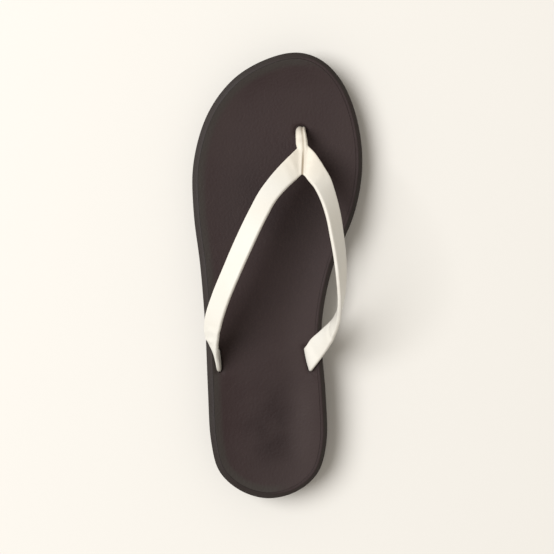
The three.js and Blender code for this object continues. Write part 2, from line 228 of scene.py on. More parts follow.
# Top of the footbed that is evened out: upright part of the normal, and mm from a slot.
LEVEL_NORMAL = 0.9
LEVEL_REACH = 9
# Edge of the sheet: least level share of the way to the rim, and the normal where the underside starts.
LEVEL_SHARE = 0.7
UNDERSIDE = -0.3

# Rim on the inner side of the foot: shares of the softness and of the step that are lost there, and how
# far the footbed's tone runs into the bevel, as a share of the softness.
INNER_HARDNESS = 0.85
INNER_LOWNESS = 0.8
TONE_RUN = 1.5
# The rim's toned band, by mm above the rim's own height.
BRIM_RUN = Ramp(-1.2, 1.0)
# Foam is lightened this far from the footbed, in mm, where it is neither upright nor level: rubbing, and
# painted sheen on the rounded rim.
RUB_SHEEN_APART = Ramp(0.8, 0.6)
RUB_SHEEN_FROM = Ramp(0.15, 0.25)
RUB_SHEEN_UP_TO = Ramp(0.97, -0.12)

# Box round the stretch of the rim that the medial strap rests on, in mm: low and high corner.
STRAP_REST = ((21.6, -52.0, 18.0), (27.0, -29.0, 22.0))

# Ovals of the underside that carry tread grooves: middle, half width and half length in mm, and turn
# in degrees.
TreadField = namedtuple("TreadField", "x y width length turn")
TREAD_FIELDS = [
    TreadField(-2.5, -83.0, 19.0, 25.0, 0.0),
    TreadField(2.0, 43.0, 34.0, 33.0, -6.0),
]

# Studio: half size of the floor, height that is looked at, and the camera's range.
FLOOR_HALF = 3.0
LOOK_HEIGHT = 0.012
CAMERA_RANGE = (0.01, 20.0)

# Sockets of a Mix node, which share their names: the share, the two inputs of a kind, and the result.
MIX_SHARE = 0
MIX_VALUES = (2, 3)
MIX_COLOURS = (6, 7)
MIX_VALUE_OUT = 0
MIX_COLOUR_OUT = 2


def length(name, description, millimetres):
    return FloatProperty(
        name=name,
        description=description,
        default=millimetres * MM,
        unit="LENGTH",
    )


def colour(name, description, default):
    return FloatVectorProperty(
        name=name,
        description=description,
        default=default,
        subtype="COLOR",
        size=3,
        min=0.0,
        max=1.0,
    )


class SandalSizes(bpy.types.PropertyGroup):
    """Sizes of the sandal's finish."""

    strap_thickness: length("Strap thickness", "Thickness of a strap at its edges", 2.2)
    strap_crown: length(
        "Strap crown", "How far the outer face of a strap rises in the middle of its width", 0.3
    )
    seam_thickness: length(
        "Seam thickness", "Thickness of a strap where it is thinned for the toe seam", 1.2
    )
    seam_turn: length("Seam turn", "Radius with which a strap turns down into the toe seam", 0.6)
    seam_reach: length(
        "Seam reach", "Distance from the toe seam at which a strap has its full thickness", 14.0
    )
    anchor_depth: length("Anchor depth", "How far a strap's end goes down into the sole", 8.5)
    leather_voxel: length("Leather voxel", "Fineness of the upper's mesh", 0.36)
    tread_pitch: length("Tread pitch", "Distance from one tread groove to the next", 6.5)
    tread_width: length("Tread width", "Width of a tread groove", 1.7)
    tread_depth: length("Tread depth", "Depth of a tread groove", 1.2)
    tread_zigzag: length(
        "Tread zigzag", "Distance from one point of a zigzag groove to the next", 11.0
    )
    tread_wave: length("Tread wave", "How far a zigzag groove swings to each side", 1.6)
    edge_reach: length(
        "Edge reach", "How near the rim a point counts as the edge of the footbed sheet", 0.75
    )
    edge_press: length(
        "Edge press", "How far the edge of the footbed sheet is pressed out towards the rim", 0.25
    )
    edge_lift: length(
        "Edge lift", "How far the sheet's rounded edge is lifted, so that it ends flush", 0.22
    )
    rim_step: length(
        "Rim step", "Height of the rim's inner edge above the rounded edge of the footbed sheet", 0.15
    )
    rim_fall: FloatProperty(
        name="Rim fall",
        description="How steeply the rim falls away from the footbed, as height for each length out",
        default=0.6,
    )
    rim_flat: length(
        "Rim flat", "Width of the flat part of the rim on the inner side of the foot", 1.3
    )
    rim_soft: length("Rim softness", "Length over which the rest of the rim starts to fall", 1.5)
    dent_depth: length(
        "Dent depth", "How far the footbed is drawn down beside the straps and the post", 0.6
    )
    slot_play: length(
        "Slot play", "How far the footbed gives way sideways beside the straps and the post", 0.5
    )
    dent_reach: length("Dent reach", "How far from a slot the footbed is drawn down", 2.2)
    rounding: IntProperty(
        name="Rounding",
        description="Levels of subdivision that round the moulded pieces",
        default=2,
        min=1,
        max=3,
    )


class SandalColours(bpy.types.PropertyGroup):
    """Colours of the sandal's materials."""

    foam: colour("Foam", "Sole and rim", (0.021, 0.014, 0.013))
    foam_light: colour("Foam, light patches", "Lighter patches of the sole", (0.03, 0.021, 0.019))
    # Lighter foam on the rounded rim and edges: rubbing, and painted sheen.
    foam_rub_sheen: colour(
        "Foam, rubbed", "Rim and edges where the foam is rubbed", (0.029, 0.0255, 0.021)
    )
    footbed: colour("Footbed", "Sheet that the foot stands on", (0.034, 0.0205, 0.0205))
    footbed_light: colour(
        "Footbed, light patches", "Lighter patches of the footbed", (0.043, 0.029, 0.028)
    )
    # Painted light: the lighter patch where the heel's inner slope faces the light.
    footbed_heel_light: colour(
        "Footbed, buffed", "Where the side of the heel buffs it", (0.055, 0.039, 0.038)
    )
    # Painted light: the lighter band of the footbed along the outer rim and the toe.
    footbed_margin_light: colour(
        "Footbed, margin", "Margin beside the outer rim and the toe", (0.04, 0.033, 0.029)
    )
    # Darker where the foot presses, by its wearing and by painted shade in the heel dish; also the
    # painted shade beside the slots.
    footbed_wearing_and_shade: colour("Footbed, worn", "Where the foot presses", (0.019, 0.01, 0.01))
    leather: colour("Leather", "Straps", (0.775, 0.758, 0.705))
    leather_warm: colour(
        "Leather, warm patches", "Warmer patches of the straps", (0.775, 0.745, 0.675)
    )
    # Painted warm light of the shaded valley by the toe seam.
    seam_warm_light: colour("Cream", "Warmer leather near the toe seam", (0.84, 0.785, 0.685))
    seam: colour("Seam", "Line of the toe seam", (0.4, 0.33, 0.24))
    # A darker tan, laid towards the footbed, and along the strap edges as a darker edge tone with
    # painted shade.
    darker_tan: colour("Darker tan", "Handling marks near the footbed", (0.55, 0.48, 0.4))


class SandalStudio(bpy.types.PropertyGroup):
    """Camera, light and floor."""

    camera_place: FloatVectorProperty(
        name="Camera place",
        description="Where the camera stands, nearly straight above the sandal",
        default=(0.061, 0.039, 0.75),
        subtype="XYZ",
        size=3,
        unit="LENGTH",
    )
    frame_height: FloatProperty(
        name="Frame height",
        description="Height of the picture at the sandal",
        default=0.312,
        unit="LENGTH",
    )
    key_place: FloatVectorProperty(
        name="Key place",
        description="Where the large soft light stands",
        default=(-1.5, 0.5, 2.4),
        subtype="XYZ",
        size=3,
        unit="LENGTH",
    )
    key_width: FloatProperty(
        name="Key width",
        description="Width of the large soft light",
        default=2.2,
        unit="LENGTH",
    )
    key_power: FloatProperty(
        name="Key power",
        description="Power of the large soft light on the lateral side",
        default=80.0,
        unit="POWER",
    )
    fill: FloatProperty(
        name="Fill",
        description="Strength of the even light from all round",
        default=0.42,
        min=0.0,
    )
    floor: colour("Floor", "Plain pale floor", (0.85, 0.83, 0.79))
    air: colour("Air", "Even light from all round", (1.0, 0.94, 0.85))


def sizes():
    return bpy.context.scene.sandal_sizes


def colours():
    return bpy.context.scene.sandal_colours


def studio():
    return bpy.context.scene.sandal_studio


# Meshes and pieces


def smooth_step(value):
    share = min(max(value, 0.0), 1.0)
    return share * share * (3 - 2 * share)


def ramp(value, run):
    return smooth_step((value - run.start) / run.length)


def object_from(bm, name):
    mesh = bpy.data.meshes.new(name)
    bm.to_mesh(mesh)
    bm.free()
    piece = bpy.data.objects.new(name, mesh)
    bpy.context.scene.collection.objects.link(piece)
    return piece


def settle(piece):
    """Make a piece's modifiers part of its mesh."""
    bpy.context.view_layer.update()
    seen = piece.evaluated_get(bpy.context.evaluated_depsgraph_get())
    mesh = bpy.data.meshes.new_from_object(seen)
    piece.modifiers.clear()
    old = piece.data
    piece.data = mesh
    bpy.data.meshes.remove(old)
    mesh.name = piece.name


def finish_piece(piece, node, material):
    """Give a piece its material and smooth shading, hang it on the body, and hide the solid that it
    stands for.
    """
    piece.data.materials.clear()
    piece.data.materials.append(material)
    piece.data.shade_smooth()
    piece.data.set_sharp_from_angle(angle=SHARP_ANGLE)
    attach(piece, BODY)
    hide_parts(node)


def merged_copy(node):
    """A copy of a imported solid, its loose triangles merged, and joined to quads where they pair up."""
    bm = bmesh.new()
    bm.from_mesh(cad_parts[node].data)
    bmesh.ops.remove_doubles(bm, verts=bm.verts, dist=MERGE_DISTANCE)
    bmesh.ops.join_triangles(
        bm,
        faces=bm.faces,
        angle_face_threshold=PAIR_FLATNESS,
        angle_shape_threshold=PAIR_SHAPE,
    )
    return bm


def crease_sharp_edges(bm):
    layer = bm.edges.layers.float.new("crease_edge")
    for edge in bm.edges:
        if edge.is_manifold and edge.calc_face_angle() > CREASE_ANGLE:
            edge[layer] = 1.0


def round_off(piece, levels):
    rounding = piece.modifiers.new("Rounding", "SUBSURF")
    rounding.levels = levels
    rounding.render_levels = levels
    settle(piece)


def write_mask(piece, name, values):
    mask = piece.data.attributes.new(name, "FLOAT", "POINT")
    mask.data.foreach_set("value", values)


def tree_of(node):
    """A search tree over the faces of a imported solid."""
    bm = bmesh.new()
    bm.from_mesh(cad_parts[node].data)
    tree = BVHTree.FromBMesh(bm)
    bm.free()
    return tree


# Sole and footbed


def tread_line(field, away):
    """A zigzag line across a tread field, at a distance from its middle, in mm, ending on its oval."""
    size = sizes()
    half = field.width * math.sqrt(1 - (away / field.length) ** 2)
    step = size.tread_zigzag / 2 / MM
    count = int(half / step)
    places = [-half, *(k * step for k in range(-count, count + 1)), half]
    turn = math.radians(field.turn)
    line = []
    for place in places:
        phase = place / step / 2
        wave = (abs(phase - math.floor(phase) - 0.5) * 4 - 1) * size.tread_wave / MM
        flat = Vector((place, away + wave))
        line.append(Vector((field.x, field.y)) + Matrix.Rotation(turn, 2) @ flat)
    return line


def tread_cutter():
    """Bars along the zigzag lines of the tread fields, as one object to cut the underside with."""
    size = sizes()
    bm = bmesh.new()
    across = Vector((0, size.tread_width / 2, 0))
    below = Vector((0, 0, -size.tread_depth))
    for field in TREAD_FIELDS:
        count = int(field.length * MM / size.tread_pitch)
        for k in range(-count, count + 1):
            line = tread_line(field, k * size.tread_pitch / MM)
            points = [Vector((*point, 0)) * MM + below for point in line]
            rows = [(bm.verts.new(at - across), bm.verts.new(at + across)) for at in points]
            strip = [bm.faces.new((a, b, d, c)) for (a, b), (c, d) in zip(rows, rows[1:])]
            made = bmesh.ops.extrude_face_region(bm, geom=strip, use_keep_orig=True)["geom"]
            raised = [part for part in made if isinstance(part, bmesh.types.BMVert)]
            bmesh.ops.translate(bm, verts=raised, vec=(0, 0, 2 * size.tread_depth))
    bmesh.ops.recalc_face_normals(bm, faces=bm.faces)
    return object_from(bm, "tread_cutter")


def groove_tread(piece):
    """Cut zigzag grooves into the underside, below the heel and the ball of the foot."""
    cutter = tread_cutter()
    cut = piece.modifiers.new("Tread", "BOOLEAN")
    cut.operation = "DIFFERENCE"
    cut.solver = "EXACT"
    cut.object = cutter
    settle(piece)
    bpy.data.meshes.remove(cutter.data)


def press_to_rim(bm):
    """Move the edge of the footbed sheet outwards, until it all but meets the rim of the sole."""
    size = sizes()
    wall = tree_of("sole")
    for vert in bm.verts:
        near, _, _, away = wall.find_nearest(vert.co, size.edge_reach)
        if near is None:
            continue
        out = Vector((near.x - vert.co.x, near.y - vert.co.y, 0))
        if out.length < away * LEVEL_SHARE:
            continue
        lift = size.edge_lift * (1 - vert.normal.z) if vert.normal.z > UNDERSIDE else 0.0
        vert.co += out.normalized() * size.edge_press + Vector((0, 0, lift))


def from_slot(point):
    """Direction over the footbed away from the nearest strap end or toe post, and distance in mm."""
    flat = Vector((point.x, point.y)) / MM
    post = POST_ROWS[-1]
    lateral = post.lateral * (1 + post.spread)
    medial = post.medial * (1 + post.spread)
    arm = flat - Vector((post.x + (medial - lateral) / 2, post.y))
    share = Vector((2 * arm.x / (lateral + medial), arm.y / post.depth)).length
    ways = [(arm.normalized(), arm.length * (1 - 1 / max(share, 1.0)))]
    half = sizes().strap_thickness / MM / 2
    for end in (LATERAL_ROWS[-1], MEDIAL_ROWS[-1]):
        front = Vector((end.front_x, end.front_y))
        across = Vector((end.rear_x, end.rear_y)) - front
        lengthways = across.normalized()
        sideways = lengthways.orthogonal()
        along = (flat - front).dot(lengthways)
        aside = (flat - front).dot(sideways)
        way = lengthways * (along - min(max(along, 0.0), across.length))
        way += sideways * (aside - min(max(aside, -half), half))
        aim = way.normalized() if way.length > 0 else sideways * math.copysign(1, aside)
        ways.append((aim, way.length))
    return min(ways, key=lambda pair: pair[1])


def iron_slots(piece):
    """Even out the top of the footbed round its slots."""
    bm = bmesh.new()
    bm.from_mesh(piece.data)
    level = [vert for vert in bm.verts if vert.normal.z > LEVEL_NORMAL]
    flat = [vert for vert in level if from_slot(vert.co)[1] < LEVEL_REACH]
    for _ in range(SLOT_ROUNDS):
        bmesh.ops.smooth_vert(bm, verts=flat, factor=SMOOTH_SHARE, use_axis_z=True)
    bm.to_mesh(piece.data)
    bm.free()


def patch_share(press, point):
    """How much of a patch lies on a point of the footbed, from 0 to 1, both for the foot's pressing and
    for the painted light patch on the heel.
    """
    across = (point.x / MM - press.x) / press.width
    along = (point.y / MM - press.y) / press.length
    return press.amount * math.exp(-across * across - along * along)


def dress_footbed(piece):
    """Draw the footbed down and back beside the slots, and mark the foot's wearing with painted shade in
    the heel dish, a painted light patch on the heel, painted shade by the slots and painted light along
    the outer rim.
    """
    size = sizes()
    rim = tree_of("sole")
    wearing_and_painted_light, painted_heel_light, rubbed_and_painted_light, painted_margin_light, moved = [], [], [], [], []
    for vert in piece.data.vertices:
        point = vert.co
        edge, _, _, away = rim.find_nearest(point + Vector((0, 0, SEARCH_LIFT * MM)))
        # Painted light on the band beside the outer rim and the toe, where the footbed faces the light.
        outer = 1 - ramp((edge - point).normalized().x, INNER_SIDE)
        painted_margin_light.append(outer * (1 - ramp(away / MM, MARGIN_LIGHT_RUN)))
        way, distance = from_slot(point)
        near = smooth_step(1 - distance * MM / size.dent_reach) * ramp(vert.normal.z, TOP_SIDE)
        back = way * size.slot_play * near
        moved.extend((point.x + back.x, point.y + back.y, point.z - size.dent_depth * near))
        # Painted shade beside the slots.
        rubbed_and_painted_light.append(near)
        # Darker by the foot's wearing and by painted shade in the heel dish; a painted light patch on
        # the heel's inner slope.
        wearing_and_painted_light.append(max(patch_share(press, point) for press in FOOT_WEAR_AND_SHADE))
        painted_heel_light.append(patch_share(HEEL_LIGHT, point))
    piece.data.vertices.foreach_set("co", moved)
    write_mask(piece, "wearing_and_painted_light", wearing_and_painted_light)
    write_mask(piece, "painted_heel_light", painted_heel_light)
    write_mask(piece, "rubbed_and_painted_light", rubbed_and_painted_light)
    write_mask(piece, "painted_margin_light", painted_margin_light)


def rim_shape(sheet, point):
    """Height of the rim at a point beside the footbed sheet, and how far it is toned like the sheet.

    On the inner side of the foot the rim starts flat, in the sheet's tone, and ends in a bevel.
    Elsewhere it rolls off softly in its own tone.
    """
    size = sizes()
    near = sheet.find_nearest(point + Vector((0, 0, SEARCH_LIFT * MM)))[0]
    out = Vector((point.x - near.x, point.y - near.y))
    inner = ramp(out.normalized().x, INNER_SIDE)
    soft = size.rim_soft * (1 - INNER_HARDNESS * inner)
    beyond = max(out.length - size.edge_press - size.rim_flat * inner, 0.0)
    fall = size.rim_fall * beyond * beyond / (beyond + soft)
    height = near.z + size.rim_step * (1 - INNER_LOWNESS * inner) - fall
    return height, inner * (1 - smooth_step(beyond / (TONE_RUN * soft)))


def bevel_rim(piece):
    """Let the rim fall away from the edge of the footbed towards the side wall."""
    sheet = tree_of("insole")
    moved = []
    for vert in piece.data.vertices:
        height, _ = rim_shape(sheet, vert.co)
        moved.extend((vert.co.x, vert.co.y, min(vert.co.z, height)))
    piece.data.vertices.foreach_set("co", moved)


def soften_rest(piece):
    """Soften the dent that the medial strap presses into the rim."""
    corner, far_corner = STRAP_REST

    def inside(point):
        sides = zip(corner, point, far_corner)
        return all(low * MM < value < high * MM for low, value, high in sides)

    axes = {"use_axis_x": True, "use_axis_y": True, "use_axis_z": True}
    bm = bmesh.new()
    bm.from_mesh(piece.data)
    rest = [vert for vert in bm.verts if inside(vert.co)]
    for _ in range(REST_ROUNDS):
        bmesh.ops.smooth_vert(bm, verts=rest, factor=SMOOTH_SHARE, **axes)
    bm.to_mesh(piece.data)
    bm.free()


def dress_sole(piece):
    """Mark the part of the rim that is toned like the footbed, and the rounded foam that is lightened by
    rubbing and by painted sheen.
    """
    sheet = tree_of("insole")
    brim, rubbed_and_painted_light = [], []
    for vert in piece.data.vertices:
        height, toned = rim_shape(sheet, vert.co)
        brim.append(toned * ramp((vert.co.z - height) / MM, BRIM_RUN))
        # Lighter rounded foam: rubbing, and painted sheen.
        slope = abs(vert.normal.z)
        apart = ramp(sheet.find_nearest(vert.co)[3] / MM, RUB_SHEEN_APART)
        rubbed_and_painted_light.append(apart * ramp(slope, RUB_SHEEN_FROM) * ramp(slope, RUB_SHEEN_UP_TO))
    write_mask(piece, "brim", brim)
    write_mask(piece, "rubbed_and_painted_light", rubbed_and_painted_light)


class SANDAL_OT_sole(bpy.types.Operator):
    """Build the moulded sole with its rounded rim and treaded underside"""

    bl_idname = "sandal.sole"
    bl_label = "Moulded sole"

    def execute(self, context):
        bm = merged_copy("sole")
        crease_sharp_edges(bm)
        piece = object_from(bm, "moulded_sole")
        round_off(piece, sizes().rounding)
        bevel_rim(piece)
        soften_rest(piece)
        groove_tread(piece)
        dress_sole(piece)
        finish_piece(piece, "sole", foam_material())
        return {"FINISHED"}


class SANDAL_OT_footbed(bpy.types.Operator):
    """Build the footbed sheet that lies in the sole"""

    bl_idname = "sandal.footbed"
    bl_label = "Footbed sheet"

    def execute(self, context):
        bm = merged_copy("insole")
        press_to_rim(bm)
        crease_sharp_edges(bm)
        piece = object_from(bm, "footbed_sheet")
        round_off(piece, sizes().rounding)
        iron_slots(piece)
        dress_footbed(piece)
        finish_piece(piece, "insole", footbed_material())
        return {"FINISHED"}


# Upper


def smooth_line(points):
    """A smooth curve through points: a function of a span and a share of it, and the spans' lengths."""
    spans = [(b - a).length for a, b in zip(points, points[1:])]
    slopes = [(b - a) / span for a, b, span in zip(points, points[1:], spans)]
    ways = [slopes[0]]
    for k in range(1, len(slopes)):
        ways.append(slopes[k - 1].lerp(slopes[k], spans[k - 1] / (spans[k - 1] + spans[k])))
    ways.append(slopes[-1])

    def place(k, t):
        return (
            points[k] * (1 + 2 * t) * (1 - t) ** 2
            + points[k + 1] * t * t * (3 - 2 * t)
            + ways[k] * spans[k] * t * (1 - t) ** 2
            - ways[k + 1] * spans[k] * t * t * (1 - t)
        )

    return place, spans


def sweep(bm, rings):
    """Close a skin through rings of points, each extruded from the one before it."""
    ring = [bm.verts.new(point) for point in rings[0]]
    edges = [bm.edges.new((ring[k - 1], ring[k])) for k in range(len(ring))]
    bmesh.ops.contextual_create(bm, geom=edges)
    for points in rings[1:]:
        made = bmesh.ops.extrude_edge_only(bm, edges=edges)["geom"]
        fresh = [item for item in made if isinstance(item, bmesh.types.BMVert)]
        old = set(ring)
        after = {}
        for vert in fresh:
            for edge in vert.link_edges:
                if edge.other_vert(vert) in old:
                    after[edge.other_vert(vert)] = vert
        ring = [after[vert] for vert in ring]
        for vert, point in zip(ring, points):
            vert.co = point
        edges = [bm.edges.get((ring[k - 1], ring[k])) for k in range(len(ring))]
    bmesh.ops.contextual_create(bm, geom=edges)


def strap_lines(rows, side):
    """Front and rear edge of a strap, from the flange under the toe seam to the end in the sole."""
    size = sizes()
    flange = size.seam_thickness / 2
    turn = size.seam_turn
    dip = turn * (1 - math.sqrt(0.5))

    def line(edge, seam):
        def start(aside, drop):
            top = Vector((SEAM_X, seam.y, seam.z)) * MM
            return top + Vector((side * aside, -seam.mitre * aside, -drop))

        begin = [
            start(flange, seam.stem * MM),
            start(flange, turn),
            start(flange + dip, dip),
            start(flange + turn, 0),
        ]
        path = [Vector(getattr(row, f"{edge}_{axis}") for axis in "xyz") * MM for row in rows]
        down = Vector((0, 0, -size.anchor_depth))
        return [*begin, *path, path[-1] + down * ANCHOR_BEND, path[-1] + down]

    return line("front", SEAM_FRONT), line("rear", SEAM_REAR)


def strap_sections(strap, rows, side):
    """Sections of a strap close together: its run from the seam, front edge, width and directions."""
    front_points, rear_points = strap_lines(rows, side)
    front, front_spans = smooth_line(front_points)
    rear, rear_spans = smooth_line(rear_points)
    places = []
    for k, spans in enumerate(zip(front_spans, rear_spans)):
        count = max(2, round(max(spans) / SECTION_SPACING))
        places.extend((k, j / count) for j in range(count))
    places.append((len(front_spans) - 1, 1.0))
    edges = [(front(k, t), rear(k, t)) for k, t in places]
    middles = [(a + b) / 2 for a, b in edges]
    runs = [0.0]
    for a, b in zip(middles, middles[1:]):
        runs.append(runs[-1] + (b - a).length)
    zero = runs[next(n for n, (k, _) in enumerate(places) if k == SEAM_SPANS)]
    sections = []
    for n, (a, b) in enumerate(edges):
        way = (middles[min(n + 1, len(middles) - 1)] - middles[max(n - 1, 0)]).normalized()
        outward = (b - a).cross(way).normalized() * -side
        sections.append(Section(strap, runs[n] - zero, a, b - a, way, outward))
    return sections


def strap_ring(section):
    """Points round one section of a strap, thinned near the seam and crowned on the outer face."""
    size = sizes()
    full = smooth_step(section.run / size.seam_reach)
    half = (size.seam_thickness + (size.strap_thickness - size.seam_thickness) * full) / 2

    def point(step, face):
        crown = size.strap_crown * math.sin(math.pi * step.across) * full if face > 0 else 0.0
        lift = face * (step.thick * half + crown)
        return section.front + section.across * step.across + section.outward * lift

    over = [point(step, 1) for step in STRAP_SECTION]
    under = [point(step, -1) for step in STRAP_SECTION[-2:0:-1]]
    return over + under


def lobe_reach(half, depth, middle, turn):
    """Distance from where the lobes meet to a lobe's outline, in a direction given by an angle."""
    c = math.cos(turn)
    s = math.sin(turn)
    a = (c / half) ** 2 + (s / depth) ** 2
    b = c * middle / half**2
    d = (middle / half) ** 2 - 1
    return (b + math.sqrt(b * b - a * d)) / a


def post_rings():
    """Middles and rings of points of the toe post: two lobes side by side, with a valley between."""
    path, spans = smooth_line([Vector((row.x, row.y, row.z)) * MM for row in POST_ROWS])
    places = [(k, j / POST_STEPS) for k in range(len(spans)) for j in range(POST_STEPS)]
    places.append((len(spans) - 1, 1.0))
    centres = [path(k, t) for k, t in places]
    sideways = Vector((1, 0, 0))
    rings = []
    for n, (k, t) in enumerate(places):
        share = smooth_step(t)
        row = PostRow(*(a + (b - a) * share for a, b in zip(POST_ROWS[k], POST_ROWS[k + 1])))
        way = centres[min(n + 1, len(centres) - 1)] - centres[max(n - 1, 0)]
        deepways = way.cross(sideways).normalized()
        ring = []
        for j in range(POST_SIDES):
            turn = 2 * math.pi * (j + 0.5) / POST_SIDES
            reach = max(
                lobe_reach(row.lateral, row.depth, -row.lateral * row.spread, turn),
                lobe_reach(row.medial, row.depth, row.medial * row.spread, turn),
            )
            aim = sideways * math.cos(turn) + deepways * math.sin(turn)
            ring.append(centres[n] + aim * reach * MM)
        rings.append(ring)
    return centres, rings


def spot_on(section, point):
    """Where a point is on a strap: mm along from the seam, and share across from the front edge."""
    middle = section.front + section.across / 2
    along = section.run + (point - middle).dot(section.way)
    across = (point - section.front).dot(section.across) / section.across.length_squared
    return Spot(section.strap, along / MM, across)


def crease_offset(spot):
    """How far the listed creases move a point of a strap outwards, in mm."""
    offset = 0.0
    for crease in CREASES:
        if crease.strap != spot.strap:
            continue
        centre = crease.along + crease.slant * (spot.across - 0.5)
        away = (spot.along - centre) / crease.width
        if abs(away) > CREASE_REACH:
            continue
        fade = 1.0
        if crease.start > 0:
            fade *= smooth_step((spot.across - crease.start) / CREASE_FADE)
        if crease.end < 1:
            fade *= smooth_step((crease.end - spot.across) / CREASE_FADE)
        trough = math.exp(-away * away)
        ridges = math.exp(-((abs(away) - RIDGE_PLACE) ** 2))
        offset += fade * crease.depth * (RIDGE_SHARE * ridges - trough)
    return offset


def dress_leather(piece, sections, centres):
    """Put the creases into the straps, and mark the seam, the painted warm light by the seam, the edges
    with their painted shade, and the darker tan near the footbed.
    """
    owned = [(point, section) for section in sections for point in strap_ring(section)]
    tree = KDTree(len(owned))
    for number, (point, _) in enumerate(owned):
        tree.insert(point, number)
    tree.balance()
    seam, seam_warm_light, edge, darker_tan, moved = [], [], [], [], []
    for vert in piece.data.vertices:
        point = vert.co
        section = owned[tree.find(point)[1]][1]
        spot = spot_on(section, point)
        on_post = point.y > POST_START * MM
        offset = 0.0 if on_post or spot.along < 0 else crease_offset(spot)
        moved.extend(point + section.outward * offset * MM)
        middle = SEAM_X
        if on_post:
            middle = min(centres, key=lambda centre: abs(centre.y - point.y)).x / MM
        band = ramp(abs(point.x / MM - middle), SEAM_BAND)
        shown = ramp(point.y / MM, SEAM_SHOWN) * ramp(vert.normal.z, SEAM_UP)
        seam.append(shown * band * (1 - SEAM_FAINT * ramp(point.y / MM, SEAM_FADE)))
        # Painted warm light along from the seam.
        seam_warm_light.append(ramp(spot.along, SEAM_WARM_LIGHT_RUN))
        # Strap edges, which take a darker edge tone with painted shade.
        edge.append(ramp(min(spot.across, 1 - spot.across), EDGE_BAND))
        # Darker tan towards the footbed.
        darker_tan.append(ramp(point.z / MM, DARKER_TAN_HEIGHT))
    piece.data.vertices.foreach_set("co", moved)
    write_mask(piece, "seam", seam)
    write_mask(piece, "seam_warm_light", seam_warm_light)
    write_mask(piece, "edge", edge)
    write_mask(piece, "darker_tan", darker_tan)


class SANDAL_OT_upper(bpy.types.Operator):
    """Build the two straps, sewn together at the toe and drawn into the toe post"""

    bl_idname = "sandal.upper"
    bl_label = "Leather upper"

    def execute(self, context):
        bm = bmesh.new()
        sections = []
        for strap, rows, side in (("lateral", LATERAL_ROWS, -1), ("medial", MEDIAL_ROWS, 1)):
            made = strap_sections(strap, rows, side)
            sweep(bm, [strap_ring(section) for section in made])
            sections.extend(made)
        centres, rings = post_rings()
        sweep(bm, rings)
        bmesh.ops.recalc_face_normals(bm, faces=bm.faces)
        piece = object_from(bm, "thong_upper")
        skin = piece.modifiers.new("Skin", "REMESH")
        skin.mode = "VOXEL"
        skin.voxel_size = sizes().leather_voxel
        soft = piece.modifiers.new("Soft", "SMOOTH")
        soft.factor = SMOOTH_SHARE
        soft.iterations = LEATHER_ROUNDS
        settle(piece)
        dress_leather(piece, sections, centres)
        finish_piece(piece, "upper", leather_material())
        return {"FINISHED"}


# Materials


def new_group(name, inputs, outputs):
    group = bpy.data.node_groups.new(name, "ShaderNodeTree")
    for label, kind, default in inputs:
        socket = group.interface.new_socket(name=label, in_out="INPUT", socket_type=kind)
        socket.default_value = default
    for label, kind in outputs:
        group.interface.new_socket(name=label, in_out="OUTPUT", socket_type=kind)
    return group, group.nodes.new("NodeGroupInput"), group.nodes.new("NodeGroupOutput")


def add_node(tree, kind, inputs=None, **settings):
    made = tree.nodes.new(kind)
    for name, value in settings.items():
        setattr(made, name, value)
    for name, value in (inputs or {}).items():
        made.inputs[name].default_value = value
    return made


def shared_group(name, build):
    return bpy.data.node_groups.get(name) or build(name)


def opaque(value):
    return (*value, 1.0)


def build_grain(name):
    """Pebbled grain with finer pores, as a height from 0 to about 1."""
    group, given, result = new_group(
        name,
        [
            ("Pebbles", "NodeSocketFloat", 900.0),
            ("Pores", "NodeSocketFloat", 3000.0),
            ("Pore share", "NodeSocketFloat", 0.4),
        ],
        [("Height", "NodeSocketFloat")],
    )
    link = group.links.new
    coords = add_node(group, "ShaderNodeTexCoord")
    pebbles = add_node(group, "ShaderNodeTexVoronoi", feature="SMOOTH_F1")
    pores = add_node(group, "ShaderNodeTexNoise", {"Detail": 3.0})
    mix = add_node(group, "ShaderNodeMix", data_type="FLOAT")
    link(coords.outputs["Object"], pebbles.inputs["Vector"])
    link(coords.outputs["Object"], pores.inputs["Vector"])
    link(given.outputs["Pebbles"], pebbles.inputs["Scale"])
    link(given.outputs["Pores"], pores.inputs["Scale"])
    link(given.outputs["Pore share"], mix.inputs[MIX_SHARE])
    link(pebbles.outputs["Distance"], mix.inputs[MIX_VALUES[0]])
    link(pores.outputs["Fac"], mix.inputs[MIX_VALUES[1]])
    link(mix.outputs[MIX_VALUE_OUT], result.inputs["Height"])
    return group


def build_drift(name):
    """Slow drift of tone between two colours."""
    group, given, result = new_group(
        name,
        [
            ("Dark", "NodeSocketColor", (0.1, 0.1, 0.1, 1.0)),
            ("Light", "NodeSocketColor", (0.2, 0.2, 0.2, 1.0)),
            ("Patches", "NodeSocketFloat", 30.0),
        ],
        [("Color", "NodeSocketColor"), ("Mask", "NodeSocketFloat")],
    )
    link = group.links.new
    coords = add_node(group, "ShaderNodeTexCoord")
    patches = add_node(group, "ShaderNodeTexNoise", {"Detail": 4.0, "Roughness": 0.55})
    spread = add_node(group, "ShaderNodeMapRange", {"From Min": 0.32, "From Max": 0.68})
    mix = add_node(group, "ShaderNodeMix", data_type="RGBA")
    link(coords.outputs["Object"], patches.inputs["Vector"])
    link(given.outputs["Patches"], patches.inputs["Scale"])
    link(patches.outputs["Fac"], spread.inputs["Value"])
    link(spread.outputs["Result"], mix.inputs[MIX_SHARE])
    link(given.outputs["Dark"], mix.inputs[MIX_COLOURS[0]])
    link(given.outputs["Light"], mix.inputs[MIX_COLOURS[1]])
    link(mix.outputs[MIX_COLOUR_OUT], result.inputs["Color"])
    link(spread.outputs["Result"], result.inputs["Mask"])
    return group


